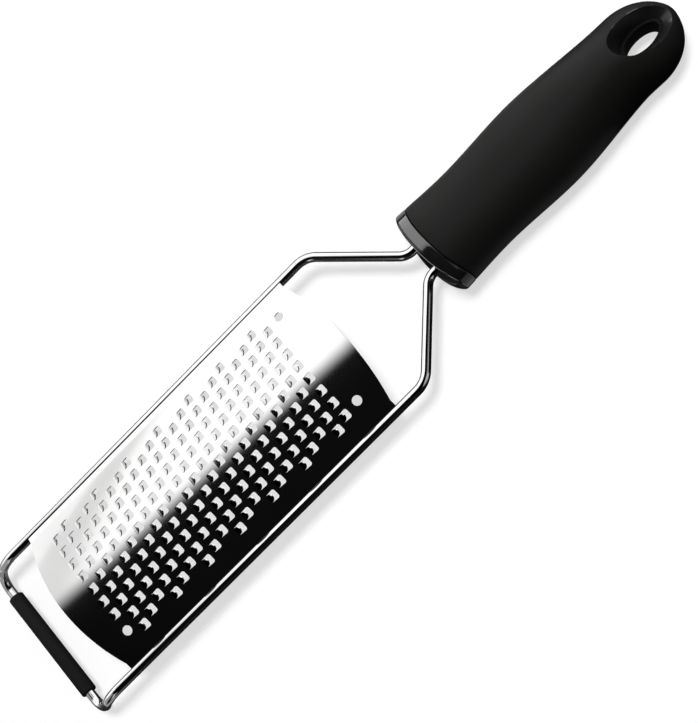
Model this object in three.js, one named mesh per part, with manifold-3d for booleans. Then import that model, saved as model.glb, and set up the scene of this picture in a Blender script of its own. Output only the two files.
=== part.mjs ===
// A hand-held coarse grater: an arched blade of etched steel teeth, welded on a bent wire frame,
// with a rubber sleeve on its foot bar and a moulded handle with a hanging hole.
// Millimetres. +X runs across the blade, +Y runs from the foot to the handle, +Z is the cutting side.
// The model is laid out from the blade's middle and the rails' plane, then stood on its lowest point.
import * as THREE from 'three';
import { mergeVertices } from 'three/addons/utils/BufferGeometryUtils.js';
import Module from 'manifold-3d';

// Driving dimensions of the wire frame
const WIRE_DIAMETER = 3.6;
const RAIL_SPACING = 64.8;        // between the rails' centre lines
const LEG_SPACING = 11.2;         // between the legs' centre lines, where they enter the handle
const SHOULDER_DISTANCE = 12.8;   // along Y, from the blade's corners to where the rails turn inwards
const SHOULDER_LENGTH = 26.0;     // along Y, from there to where the legs turn straight
const LEG_LENGTH = 6.7;           // along Y, from there to the handle's front
const LEG_DROP = 2.0;             // how far the legs lie under the rails
const LEG_DEPTH = 40.0;           // how far the legs reach into the handle
const FOOT_BEND_DISTANCE = 14.4;  // along Y, from the blade's corners to where the rails turn down
const FOOT_LENGTH = 7.7;          // along Y, from there to the foot bar
const FOOT_DROP = 8.7;            // how far the foot bar lies under the rails
const LEG_BEND_RADIUS = 7.0;
const SHOULDER_BEND_RADIUS = 10.0;
const FOOT_BEND_RADIUS = 11.5;
const CORNER_BEND_RADIUS = 6.2;

// Driving dimensions of the blade
const BLADE_LENGTH = 132.3;       // from corner to corner
const BLADE_THICKNESS = 0.5;
const ARCH_RADIUS = 86.8;         // of the cutting side
const EDGE_INSET = 0.7;           // from a rail's centre line in to the blade's long edge
const END_CROWN = 4.3;            // how far the rounded ends stand past the corners
const LIP_WIDTH = 3.0;            // square-cut strip beside each rail

// Driving dimensions of the tooth pattern
const ROW_PITCH = 5.4;
const COLUMN_PITCH = 6.05;
const FIRST_ROW_INSET = 14.85;    // from the handle-side corners to the first row
const LAST_ROW_INSET = 9.0;       // least distance from the last row to the foot-side corners
const PLAIN_EDGE = 4.2;           // least plain strip between a tooth's cell and the long edge
const OPENING_WIDTH = 3.75;
const OPENING_LENGTH = 3.65;
const OPENING_CORNER = 0.75;      // rounding of the opening's handle-side corners
const SLOT_INSET = 0.25;          // how far the pointed feet of the side slots lie inside the opening
const TONGUE_LENGTH = 1.75;
const TONGUE_SHOULDER_WIDTH = 2.15;
const TONGUE_TIP_WIDTH = 1.05;
const TONGUE_TIP_ROUNDING = 0.45;
const TOOTH_RISE = 0.9;           // height of the cutting tip above the sheet
const ROUND_HOLE_DIAMETER = 3.7;
const HEAD_HOLE_SPACING = 42.8;   // between the two round holes at the handle end
const HEAD_HOLE_RISE = 6.6;       // from the first row to those holes
const FOOT_HOLE_INSET = 4.3;      // from the last tooth's cell to the round hole that ends the last row
const FOOT_HOLE_DROP = 0.75;      // from the last row's line to that hole

// Driving dimensions of the foot sleeve
const SLEEVE_DIAMETER = 6.0;
const SLEEVE_LENGTH = 46.8;
const SLEEVE_BEVEL = 0.7;

// Driving dimensions of the weld tacks
const WELD_LENGTH = 6.0;
const WELD_LEG = 1.7;             // reach of a tack along the sheet
const WELDS_PER_RAIL = 5;

// Driving dimensions of the handle: distances run back from its front corners,
// rises and drops run up and down from the line along which it is widest
const HANDLE_LENGTH = 117.4;
const WAIST_AT = 23.0;
const BELLY_AT = 56.0;
const NECK_END_LENGTH = 27.9;     // from the neck, where the handle is narrowest, to its end
const HEAD_END_LENGTH = 17.9;     // from the head's widest place to its end
const FRONT_WIDTH = 35.8;
const WAIST_WIDTH = 33.6;
const BELLY_WIDTH = 35.8;
const NECK_WIDTH = 29.2;
const HEAD_WIDTH = 29.8;
const FRONT_RISE = 13.3;
const WAIST_RISE = 12.8;
const BELLY_RISE = 15.0;
const NECK_RISE = 17.6;
const HEAD_RISE = 14.2;
const END_RISE = 8.0;
const FRONT_DROP = 13.3;
const WAIST_DROP = 12.8;
const BELLY_DROP = 13.6;
const NECK_DROP = 11.5;
const HEAD_DROP = 10.5;
const END_DROP = 7.0;
const SECTION_FULLNESS = 2.4;     // 2 would be an oval, more is fuller at the corners
const END_FULLNESS = 0.3;         // how slowly the thickness closes round the head's end
const HANDLE_DROOP = 2.6;         // how far the head's widest line lies under the legs
const UPPER_BOW = 2.9;            // how far the upper front rim bows forward between the corners
const LOWER_BOW = 4.3;            // how far the lower front rim does
const BOW_REACH = 16.0;           // length over which the bow dies away in the grip
const GRIP_WALL = 3.4;
const COLLAR_LENGTH = 4.8;
const COLLAR_BEVEL = 0.8;
const MOUTH_DEPTH = 2.0;          // from the front corners in to the core's face
const EYELET_THICKNESS = 9.5;
const EYELET_HOLE_WIDTH = 7.4;
const EYELET_HOLE_LENGTH = 15.0;
const HANG_HOLE_INSET = 14.8;     // from the handle's end to the middle of the hanging hole
const HANG_THROAT_WIDTH = 9.8;
const HANG_THROAT_LENGTH = 17.2;
const HANG_RIM_WIDTH = 16.2;
const HANG_RIM_LENGTH = 25.3;
const UPPER_RIM_RISE = 12.6;      // middle of the upper rim, from the widest line
const UPPER_RIM_SLOPE = -0.44;    // how the upper rim falls towards the head's end
const LOWER_RIM_DROP = 9.6;
const LOWER_RIM_SLOPE = 0.2;

// Stations of the handle, from its front corners
const NECK_AT = HANDLE_LENGTH - NECK_END_LENGTH;
const HEAD_AT = HANDLE_LENGTH - HEAD_END_LENGTH;
const HANG_HOLE_AT = HANDLE_LENGTH - HANG_HOLE_INSET;

// Clearances
const SEAT_GAP = 0.3;             // between pieces that seat on or in each other
const WELD_GAP = SEAT_GAP / 3;    // between a weld tack and the two pieces that it joins

// Facet counts
const WIRE_SIDES = 12;
const BEND_STEPS = 4;
const HOLE_SIDES = 12;
const SLEEVE_SIDES = 16;
const RING_POINTS = 20;
const BODY_STEPS = 8;
const BODY_STEP_LEAST = 2;        // least distance between the front and the next section
const CAP_STEPS = 6;
const CAP_CLOSE = 0.97;           // share of the quarter turn at which the head's end closes flat

// Derived places
const WIRE_RADIUS = WIRE_DIAMETER / 2;
const RAIL_X = RAIL_SPACING / 2;
const LEG_X = LEG_SPACING / 2;
const CORNER_Y = BLADE_LENGTH / 2;
const SHOULDER_Y = CORNER_Y + SHOULDER_DISTANCE;
const LEG_Y = SHOULDER_Y + SHOULDER_LENGTH;
const FRONT_Y = LEG_Y + LEG_LENGTH;
const FOOT_BEND_Y = -CORNER_Y - FOOT_BEND_DISTANCE;
const FOOT_Y = FOOT_BEND_Y - FOOT_LENGTH;

const wasm = await Module();
wasm.setup();

const steel = (roughness) => new THREE.MeshStandardMaterial({ color: 0xd9dbdd, roughness, metalness: 1 });
const black = (color, roughness) => new THREE.MeshStandardMaterial({ color, roughness, metalness: 0 });

// Makes a geometry of points and triangles, turned so that its faces point outwards
function solidGeometry(points, triangles) {
  let volume = 0;
  for (const [a, b, c] of triangles) {
    volume += points[a].dot(points[b].clone().cross(points[c]));
  }
  const faces = volume > 0 ? triangles : triangles.map(([a, b, c]) => [a, c, b]);
  const geometry = new THREE.BufferGeometry();
  geometry.setAttribute('position', new THREE.Float32BufferAttribute(points.flatMap((p) => p.toArray()), 3));
  geometry.setIndex(faces.flat());
  return geometry;
}

// Turns a closed geometry into a solid that can be joined and cut
function toSolid(geometry) {
  const bare = geometry.clone();
  bare.deleteAttribute('normal');
  bare.deleteAttribute('uv');
  const merged = mergeVertices(bare, 1e-5);
  return new wasm.Manifold(new wasm.Mesh({
    numProp: 3,
    vertProperties: new Float32Array(merged.attributes.position.array),
    triVerts: new Uint32Array(merged.index.array),
  }));
}

function toGeometry(solid) {
  const mesh = solid.getMesh();
  const geometry = new THREE.BufferGeometry();
  geometry.setAttribute('position', new THREE.BufferAttribute(mesh.vertProperties, 3));
  geometry.setIndex(new THREE.BufferAttribute(mesh.triVerts, 1));
  return geometry;
}

// Skins a row of rings; the row's two ends are capped, or joined to each other
function loft(rings, joined = false) {
  const count = rings[0].length;
  const points = rings.flat();
  const triangles = [];
  const last = joined ? rings.length : rings.length - 1;
  for (let r = 0; r < last; r += 1) {
    const here = r * count;
    const next = ((r + 1) % rings.length) * count;
    for (let i = 0; i < count; i += 1) {
      const j = (i + 1) % count;
      triangles.push([here + i, here + j, next + j], [here + i, next + j, next + i]);
    }
  }
  if (!joined) {
    const end = (rings.length - 1) * count;
    for (let i = 1; i + 1 < count; i += 1) {
      triangles.push([0, i + 1, i], [end, end + i, end + i + 1]);
    }
  }
  return solidGeometry(points, triangles);
}

// Wire frame: straight runs with an arc at each bend

// A path whose sections stand only where the wire starts, ends or bends
class BentWire extends THREE.Curve {
  constructor(corners) {
    super();
    this.places = [];
    this.headings = [];
    const first = corners[0].at;
    const last = corners[corners.length - 1].at;
    this.addStation(first, corners[1].at.clone().sub(first));
    for (let i = 1; i + 1 < corners.length; i += 1) {
      this.addBend(corners[i - 1].at, corners[i], corners[i + 1].at);
    }
    this.addStation(last, last.clone().sub(corners[corners.length - 2].at));
  }

  addStation(place, heading) {
    this.places.push(place.clone());
    this.headings.push(heading.clone().normalize());
  }

  addBend(before, corner, after) {
    const into = corner.at.clone().sub(before).normalize();
    const out = after.clone().sub(corner.at).normalize();
    const turn = into.angleTo(out);
    const start = corner.at.clone().addScaledVector(into, -corner.radius * Math.tan(turn / 2));
    const side = out.clone().addScaledVector(into, -out.dot(into)).normalize();
    const centre = start.clone().addScaledVector(side, corner.radius);
    for (let i = 0; i <= BEND_STEPS; i += 1) {
      const angle = (turn * i) / BEND_STEPS;
      const place = centre.clone()
        .addScaledVector(side, -corner.radius * Math.cos(angle))
        .addScaledVector(into, corner.radius * Math.sin(angle));
      const heading = into.clone().multiplyScalar(Math.cos(angle)).addScaledVector(side, Math.sin(angle));
      this.addStation(place, heading);
    }
  }

  get steps() {
    return this.places.length - 1;
  }

  getPointAt(u, target = new THREE.Vector3()) {
    return target.copy(this.places[Math.round(u * this.steps)]);
  }

  getTangentAt(u, target = new THREE.Vector3()) {
    return target.copy(this.headings[Math.round(u * this.steps)]);
  }
}

function wireFrame() {
  const half = [
    { at: new THREE.Vector3(LEG_X, FRONT_Y + LEG_DEPTH, -LEG_DROP) },
    { at: new THREE.Vector3(LEG_X, LEG_Y, -LEG_DROP), radius: LEG_BEND_RADIUS },
    { at: new THREE.Vector3(RAIL_X, SHOULDER_Y, 0), radius: SHOULDER_BEND_RADIUS },
    { at: new THREE.Vector3(RAIL_X, FOOT_BEND_Y, 0), radius: FOOT_BEND_RADIUS },
    { at: new THREE.Vector3(RAIL_X, FOOT_Y, -FOOT_DROP), radius: CORNER_BEND_RADIUS },
  ];
  const mirrored = half.map(({ at, radius }) => ({ at: new THREE.Vector3(-at.x, at.y, at.z), radius }));
  const path = new BentWire([...half, ...mirrored.reverse()]);
  const section = new THREE.Shape();
  section.absarc(0, 0, WIRE_RADIUS, 0, 2 * Math.PI);
  return new THREE.ExtrudeGeometry(section, {
    extrudePath: path,
    steps: path.steps,
    curveSegments: WIRE_SIDES / 2,   // a full circle takes two points for each
  });
}

// Blade: a flat pattern of cells, bent round the arch

const EDGE_X = RAIL_X - EDGE_INSET;
const EDGE_ANGLE = Math.asin(EDGE_X / ARCH_RADIUS);
const EDGE_S = ARCH_RADIUS * EDGE_ANGLE;            // half the blade's width, measured round the arch
const UNDER_EDGE_X = (ARCH_RADIUS - BLADE_THICKNESS) * Math.sin(EDGE_ANGLE);
const UNDER_EDGE_Z = Math.sqrt((WIRE_RADIUS + SEAT_GAP) ** 2 - (RAIL_X - UNDER_EDGE_X) ** 2);
const ARCH_CENTRE_Z = UNDER_EDGE_Z - (ARCH_RADIUS - BLADE_THICKNESS) * Math.cos(EDGE_ANGLE);

// Place on the bent sheet: s runs round the arch from its crown, height is above the cutting side
function onArch(s, y, height) {
  const radius = ARCH_RADIUS + height;
  const angle = s / ARCH_RADIUS;
  return new THREE.Vector3(radius * Math.sin(angle), y, ARCH_CENTRE_Z + radius * Math.cos(angle));
}

// Rows repeat every three, each shifted by a third of the pitch
const ROW_SHIFTS = [-1 / 3, 0, 1 / 3];
const ROW_SPAN = BLADE_LENGTH - FIRST_ROW_INSET - LAST_ROW_INSET;
const ROW_COUNT = Math.floor(ROW_SPAN / ROW_PITCH) + 1;
const rowY = (row) => CORNER_Y - FIRST_ROW_INSET - row * ROW_PITCH;

// Middles of the teeth in one row, as far out as the plain edge strips let them
function toothPlaces(row) {
  const shift = ROW_SHIFTS[row % ROW_SHIFTS.length];
  const reach = (EDGE_S - PLAIN_EDGE) / COLUMN_PITCH - 1 / 2;
  const places = [];
  for (let k = Math.ceil(-reach - shift); k <= Math.floor(reach - shift); k += 1) {
    places.push((k + shift) * COLUMN_PITCH);
  }
  return row === ROW_COUNT - 1 ? places.slice(0, -1) : places;
}

// Lines along the blade on which the corners of all cells lie
function cellLines() {
  const third = COLUMN_PITCH / 3;
  const count = Math.floor((EDGE_S - PLAIN_EDGE) / third - 1 / 2);
  const lines = [];
  for (let j = -count - 1; j <= count; j += 1) {
    lines.push((j + 1 / 2) * third);
  }
  return lines;
}

const LINES = cellLines();
const SAME_PLACE = 1e-4;
const linesBetween = (from, to) => LINES.filter((s) => s > from + SAME_PLACE && s < to - SAME_PLACE);

// Collects the sheet's faces in the flat, as points with s, y and a lift above the sheet
class FlatSheet {
  constructor() {
    this.points = [];
    this.lookup = new Map();
    this.triangles = [];
  }

  index(point) {
    const key = `${Math.round(point.s / SAME_PLACE)} ${Math.round(point.y / SAME_PLACE)}`;
    if (!this.lookup.has(key)) {
      this.lookup.set(key, this.points.length);
      this.points.push(point);
    }
    return this.lookup.get(key);
  }

  triangle(a, b, c) {
    const area = (b.s - a.s) * (c.y - a.y) - (c.s - a.s) * (b.y - a.y);
    const corners = area > 0 ? [a, b, c] : [a, c, b];
    this.triangles.push(corners.map((corner) => this.index(corner)));
  }

  // Fills between two lines of points that both run along s
  band(lower, upper) {
    let i = 0;
    let j = 0;
    while (i + 1 < lower.length || j + 1 < upper.length) {
      const lowerNext = i + 1 < lower.length ? lower[i + 1].s : Infinity;
      const upperNext = j + 1 < upper.length ? upper[j + 1].s : Infinity;
      if (lowerNext <= upperNext) {
        this.triangle(lower[i], lower[i + 1], upper[j]);
        i += 1;
      } else {
        this.triangle(lower[i], upper[j + 1], upper[j]);
        j += 1;
      }
    }
  }

  // Fills between an outline and a hole, which are both seen whole from the hole's middle
  ring(outline, hole, middle) {
    const turn = (p) => Math.atan2(p.y - middle.y, p.s - middle.s);
    const outer = [...outline].sort((p, q) => turn(p) - turn(q));
    const inner = [...hole].sort((p, q) => turn(p) - turn(q));
    const turnAt = (loop, i) => turn(loop[i % loop.length]) + (i < loop.length ? 0 : 2 * Math.PI);
    const edgeMiddle = (loop, i) => (i < loop.length ? (turnAt(loop, i) + turnAt(loop, i + 1)) / 2 : Infinity);
    let i = 0;
    let j = 0;
    while (i < outer.length || j < inner.length) {
      const a = outer[i % outer.length];
      const b = inner[j % inner.length];
      if (edgeMiddle(outer, i) <= edgeMiddle(inner, j)) {
        i += 1;
        this.triangle(a, outer[i % outer.length], b);
      } else {
        j += 1;
        this.triangle(a, inner[j % inner.length], b);
      }
    }
  }

  // Bends the sheet round the arch, gives it its thickness and walls up every open edge
  bend() {
    const count = this.points.length;
    const top = this.points.map(({ s, y, lift = 0 }) => onArch(s, y, lift));
    const bottom = this.points.map(({ s, y, lift = 0 }) => onArch(s, y, lift - BLADE_THICKNESS));
    const edges = new Set(this.triangles.flatMap(([a, b, c]) => [`${a} ${b}`, `${b} ${c}`, `${c} ${a}`]));
    const faces = [];
    for (const [a, b, c] of this.triangles) {
      faces.push([a, b, c], [a + count, c + count, b + count]);
      for (const [from, to] of [[a, b], [b, c], [c, a]]) {
        if (!edges.has(`${to} ${from}`)) {
          faces.push([to, from, from + count], [to, from + count, to + count]);
        }
      }
    }
    return solidGeometry([...top, ...bottom], faces);
  }
}

// Corners of a cell or strip between two row lines, with every cell line that it crosses
function boxOutline(from, to, low, high) {
  const across = [from, ...linesBetween(from, to), to];
  const lower = across.map((s) => ({ s, y: low }));
  const upper = across.map((s) => ({ s, y: high }));
  return { lower, upper };
}

function roundHole(s, y) {
  const points = [];
  for (let i = 0; i < HOLE_SIDES; i += 1) {
    const angle = (2 * Math.PI * (i + 1 / 2)) / HOLE_SIDES;
    const radius = ROUND_HOLE_DIAMETER / 2;
    points.push({ s: s + radius * Math.cos(angle), y: y + radius * Math.sin(angle) });
  }
  return points;
}

// One tooth: an opening with rounded upper corners, and a tongue that rises into it from the foot side
function addTooth(sheet, s, y) {
  const half = OPENING_WIDTH / 2;
  const top = y + OPENING_LENGTH / 2;
  const foot = y - OPENING_LENGTH / 2;
  const slot = half - SLOT_INSET;
  const tip = foot + TONGUE_LENGTH;
  const shoulder = tip - TONGUE_TIP_ROUNDING;
  const shoulderLift = TOOTH_RISE * (1 - TONGUE_TIP_ROUNDING / TONGUE_LENGTH);
  const root = [{ s: s - slot, y: foot }, { s: s + slot, y: foot }];
  const opening = [
    ...root,
    { s: s + half, y: top - OPENING_CORNER },
    { s: s + half - OPENING_CORNER, y: top },
    { s: s - half + OPENING_CORNER, y: top },
    { s: s - half, y: top - OPENING_CORNER },
  ];
  const tongue = [
    { s: s - TONGUE_SHOULDER_WIDTH / 2, y: shoulder, lift: shoulderLift },
    { s: s - TONGUE_TIP_WIDTH / 2, y: tip, lift: TOOTH_RISE },
    { s: s + TONGUE_TIP_WIDTH / 2, y: tip, lift: TOOTH_RISE },
    { s: s + TONGUE_SHOULDER_WIDTH / 2, y: shoulder, lift: shoulderLift },
  ];
  const cell = boxOutline(s - COLUMN_PITCH / 2, s + COLUMN_PITCH / 2, y - ROW_PITCH / 2, y + ROW_PITCH / 2);
  sheet.ring([...cell.lower, ...cell.upper], opening, { s, y });
  sheet.band(root, tongue);
}

function addRow(sheet, row) {
  const y = rowY(row);
  const low = y - ROW_PITCH / 2;
  const high = y + ROW_PITCH / 2;
  const places = toothPlaces(row);
  for (const s of places) {
    addTooth(sheet, s, y);
  }
  const from = places[0] - COLUMN_PITCH / 2;
  const to = places[places.length - 1] + COLUMN_PITCH / 2;
  const left = boxOutline(-EDGE_S, from, low, high);
  const right = boxOutline(to, EDGE_S, low, high);
  sheet.band(left.lower, left.upper);
  if (row < ROW_COUNT - 1) {
    sheet.band(right.lower, right.upper);
  } else {
    const middle = { s: to + FOOT_HOLE_INSET, y: y - FOOT_HOLE_DROP };
    sheet.ring([...right.lower, ...right.upper], roundHole(middle.s, middle.y), middle);
  }
}

// Plain strip across the blade with round holes midway up it
function addHoleStrip(sheet, low, high, holes) {
  const reach = ROUND_HOLE_DIAMETER / 2 + BLADE_THICKNESS;
  const kept = LINES.filter((line) => holes.every((s) => Math.abs(line - s) > reach));
  const cuts = [-EDGE_S, ...kept, EDGE_S];
  for (let i = 0; i + 1 < cuts.length; i += 1) {
    const cell = boxOutline(cuts[i], cuts[i + 1], low, high);
    const hole = holes.find((s) => s > cuts[i] && s < cuts[i + 1]);
    if (hole === undefined) {
      sheet.band(cell.lower, cell.upper);
    } else {
      const middle = { s: hole, y: (low + high) / 2 };
      sheet.ring([...cell.lower, ...cell.upper], roundHole(middle.s, middle.y), middle);
    }
  }
}

// Plain end of the blade: rounded outwards between the two square-cut lips
function addEnd(sheet, line, side) {
  const flat = EDGE_S - LIP_WIDTH;
  const endY = (s) => side * (CORNER_Y + END_CROWN * Math.max(0, 1 - (s / flat) ** 2));
  const rounded = LINES.filter((s) => Math.abs(s) < flat);
  const inner = [-EDGE_S, ...LINES, EDGE_S].map((s) => ({ s, y: line }));
  const outer = [-EDGE_S, -flat, ...rounded, flat, EDGE_S].map((s) => ({ s, y: endY(s) }));
  sheet.band(inner, outer);
}

function gratingBlade() {
  const sheet = new FlatSheet();
  for (let row = 0; row < ROW_COUNT; row += 1) {
    addRow(sheet, row);
  }
  const firstLine = rowY(0) + ROW_PITCH / 2;
  const stripLine = 2 * (rowY(0) + HEAD_HOLE_RISE) - firstLine;
  addHoleStrip(sheet, firstLine, stripLine, [-HEAD_HOLE_SPACING / 2, HEAD_HOLE_SPACING / 2]);
  addEnd(sheet, stripLine, 1);
  addEnd(sheet, rowY(ROW_COUNT - 1) - ROW_PITCH / 2, -1);
  return sheet.bend();
}

// Weld tack: a fillet in the corner between the sheet's underside and the inner side of a rail
function weldTack(side, y) {
  const edge = onArch(EDGE_S, 0, -BLADE_THICKNESS);
  const inwards = onArch(LINES[LINES.length - 1], 0, -BLADE_THICKNESS).sub(edge).normalize();
  const downwards = new THREE.Vector3(-inwards.z, 0, inwards.x);
  const underSheet = (reach) => edge.clone().addScaledVector(inwards, reach).addScaledVector(downwards, WELD_GAP);
  const contact = Math.atan2(edge.z, edge.x - RAIL_X);
  const onWire = (angle) => new THREE.Vector3(
    RAIL_X + (WIRE_RADIUS + WELD_GAP) * Math.cos(contact + angle),
    0,
    (WIRE_RADIUS + WELD_GAP) * Math.sin(contact + angle),
  );
  const wireSweep = WELD_LEG / WIRE_RADIUS;
  const corners = [
    underSheet(WELD_GAP),
    underSheet(WELD_LEG),
    onWire(wireSweep),
    onWire(wireSweep / 2),
    onWire(WELD_GAP),
  ];
  const section = new THREE.Shape(corners.map((corner) => new THREE.Vector2(side * corner.x, corner.z)));
  const geometry = new THREE.ExtrudeGeometry(section, { depth: WELD_LENGTH, bevelEnabled: false });
  geometry.translate(0, 0, -WELD_LENGTH / 2);
  geometry.rotateX(Math.PI / 2);
  geometry.translate(0, y, 0);
  return geometry;
}

// Foot sleeve: a bevelled rubber tube on the foot bar, with a facet facing straight down
function footSleeve() {
  const bore = WIRE_RADIUS + SEAT_GAP;
  const outer = SLEEVE_DIAMETER / 2;
  const end = SLEEVE_LENGTH / 2;
  const profile = [
    [bore, -end],
    [outer - SLEEVE_BEVEL, -end],
    [outer, SLEEVE_BEVEL - end],
    [outer, end - SLEEVE_BEVEL],
    [outer - SLEEVE_BEVEL, end],
    [bore, end],
    [bore, -end],
  ].map(([radius, along]) => new THREE.Vector2(radius, along));
  const geometry = new THREE.LatheGeometry(profile, SLEEVE_SIDES);
  geometry.rotateY(Math.PI / SLEEVE_SIDES);
  geometry.rotateZ(Math.PI / 2);
  return geometry;
}

// Handle: sections across Y, read from smooth lines through the named stations

// Smooth line through stations, each a pair of distance and value
function smoothLine(stations) {
  const slope = (i) => {
    const [before, after] = [stations[Math.max(i - 1, 0)], stations[Math.min(i + 1, stations.length - 1)]];
    return (after[1] - before[1]) / (after[0] - before[0]);
  };
  return (at) => {
    const next = stations.findIndex(([place]) => place > at);
    const i = next < 1 ? stations.length - 2 : next - 1;
    const [[fromAt, from], [toAt, to]] = [stations[i], stations[i + 1]];
    const span = toAt - fromAt;
    const t = THREE.MathUtils.clamp((at - fromAt) / span, 0, 1);
    const rise = (2 * t ** 3 - 3 * t ** 2 + 1) * from + (3 * t ** 2 - 2 * t ** 3) * to;
    const lean = (t ** 3 - 2 * t ** 2 + t) * slope(i) + (t ** 3 - t ** 2) * slope(i + 1);
    return rise + lean * span;
  };
}

const widthAt = smoothLine([
  [0, FRONT_WIDTH], [WAIST_AT, WAIST_WIDTH], [BELLY_AT, BELLY_WIDTH], [NECK_AT, NECK_WIDTH], [HEAD_AT, HEAD_WIDTH],
]);
const riseAt = smoothLine([
  [0, FRONT_RISE], [WAIST_AT, WAIST_RISE], [BELLY_AT, BELLY_RISE],
  [NECK_AT, NECK_RISE], [HEAD_AT, HEAD_RISE], [HANDLE_LENGTH, END_RISE],
]);
const dropAt = smoothLine([
  [0, FRONT_DROP], [WAIST_AT, WAIST_DROP], [BELLY_AT, BELLY_DROP],
  [NECK_AT, NECK_DROP], [HEAD_AT, HEAD_DROP], [HANDLE_LENGTH, END_DROP],
]);
const middleAt = smoothLine([
  [0, -LEG_DROP], [BELLY_AT, -LEG_DROP - HANDLE_DROOP / 2], [HEAD_AT, -LEG_DROP - HANDLE_DROOP],
]);

// Half sizes of a section, drawn in from the handle's outside
const halfSizes = (back, inset) => ({
  side: widthAt(back) / 2 - inset,
  rise: riseAt(back) - inset,
  drop: dropAt(back) - inset,
});

// A section of the handle at a distance back from its front;
// its top and bottom may bow forward of its sides, by a share of the full bows
function sectionRing(back, { side, rise, drop }, bow = 0) {
  const fuller = (value) => Math.sign(value) * Math.abs(value) ** (2 / SECTION_FULLNESS);
  const middle = middleAt(back);
  const ring = [];
  for (let i = 0; i < RING_POINTS; i += 1) {
    const angle = (2 * Math.PI * i) / RING_POINTS;
    const across = fuller(Math.cos(angle));
    const up = fuller(Math.sin(angle));
    const fullBow = up > 0 ? UPPER_BOW : LOWER_BOW;
    ring.push(new THREE.Vector3(
      side * across,
      FRONT_Y + back - bow * fullBow * Math.sin(angle) ** 2,
      middle + (up > 0 ? rise : drop) * up,
    ));
  }
  return ring;
}

// Thins a section to a plate between the belly and the neck
function thinned(back, half, plateHalf) {
  const share = THREE.MathUtils.smoothstep(back, BELLY_AT, NECK_AT);
  return {
    side: half.side,
    rise: THREE.MathUtils.lerp(half.rise, plateHalf, share),
    drop: THREE.MathUtils.lerp(half.drop, plateHalf, share),
  };
}

// Rings from the front to the head, then over the head's rounded end
function skinRings(front, inset, shape, bowAt = () => 0) {
  const body = [front];
  for (let i = 1; i <= BODY_STEPS; i += 1) {
    const back = (HEAD_AT * i) / BODY_STEPS;
    if (back > front + BODY_STEP_LEAST) {
      body.push(back);
    }
  }
  const rings = body.map((back) => sectionRing(back, shape(back, halfSizes(back, inset)), bowAt(back)));
  for (let i = 1; i <= CAP_STEPS; i += 1) {
    const angle = (CAP_CLOSE * Math.PI * i) / (2 * CAP_STEPS);
    const back = HEAD_AT + (HANDLE_LENGTH - HEAD_AT - inset) * Math.sin(angle);
    const half = shape(back, halfSizes(back, inset));
    const close = Math.cos(angle) ** END_FULLNESS;
    rings.push(sectionRing(back, {
      side: half.side * Math.cos(angle),
      rise: half.rise * close,
      drop: half.drop * close,
    }));
  }
  return rings;
}

// An oval across the hanging hole, at a height from the widest line, which may slope towards the head's end
function holeRing(height, width, length, slope = 0) {
  const ring = [];
  for (let i = 0; i < RING_POINTS; i += 1) {
    const angle = (2 * Math.PI * i) / RING_POINTS;
    const along = (length / 2) * Math.sin(angle);
    ring.push(new THREE.Vector3(
      (width / 2) * Math.cos(angle),
      FRONT_Y + HANG_HOLE_AT + along,
      middleAt(HEAD_AT) + height + slope * along,
    ));
  }
  return ring;
}

const PLATE_HALF = EYELET_THICKNESS / 2;
const HOLLOW_INSET = GRIP_WALL - SEAT_GAP;
const GRIP_FRONT = COLLAR_LENGTH + SEAT_GAP;

// Soft grip: the handle's outside with a hollow for the core, and a funnel from each side of the head to the eyelet
function softGrip() {
  const bowAt = (back) => Math.max(0, 1 - (back - GRIP_FRONT) / BOW_REACH) ** 2;
  const outside = skinRings(GRIP_FRONT, 0, (back, half) => half, bowAt);
  const hollowShape = (back, half) => thinned(back, half, PLATE_HALF + SEAT_GAP);
  const hollowBow = (back) => (back === GRIP_FRONT ? 1 : 0);
  const hollow = skinRings(GRIP_FRONT, HOLLOW_INSET, hollowShape, hollowBow);
  const skin = toSolid(loft([...hollow.reverse(), ...outside]));
  const lowerRim = (beyond) => holeRing(-LOWER_RIM_DROP - beyond, HANG_RIM_WIDTH, HANG_RIM_LENGTH, LOWER_RIM_SLOPE);
  const upperRim = (beyond) => holeRing(UPPER_RIM_RISE + beyond, HANG_RIM_WIDTH, HANG_RIM_LENGTH, UPPER_RIM_SLOPE);
  const funnels = loft([
    lowerRim(HEAD_DROP),
    lowerRim(0),
    holeRing(-PLATE_HALF, HANG_THROAT_WIDTH, HANG_THROAT_LENGTH),
    holeRing(PLATE_HALF, HANG_THROAT_WIDTH, HANG_THROAT_LENGTH),
    upperRim(0),
    upperRim(HEAD_RISE),
  ]);
  return toGeometry(skin.subtract(toSolid(funnels)));
}

// Rigid core: a nose inside the collar, sockets for the wire's legs, and the eyelet plate in the head
function handleCore() {
  const coreShape = (back, half) => thinned(back, half, PLATE_HALF);
  let core = toSolid(loft(skinRings(MOUTH_DEPTH, GRIP_WALL, coreShape)));
  const eyelet = loft([
    holeRing(-EYELET_THICKNESS, EYELET_HOLE_WIDTH, EYELET_HOLE_LENGTH),
    holeRing(EYELET_THICKNESS, EYELET_HOLE_WIDTH, EYELET_HOLE_LENGTH),
  ]);
  core = core.subtract(toSolid(eyelet));
  const socketRadius = WIRE_RADIUS + SEAT_GAP;
  const socketEnd = FRONT_Y + LEG_DEPTH + SEAT_GAP;
  const socketLength = socketEnd - FRONT_Y;
  for (const side of [-1, 1]) {
    const socket = new THREE.CylinderGeometry(socketRadius, socketRadius, socketLength, WIRE_SIDES);
    socket.translate(side * LEG_X, socketEnd - socketLength / 2, -LEG_DROP);
    core = core.subtract(toSolid(socket));
  }
  return toGeometry(core);
}

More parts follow.
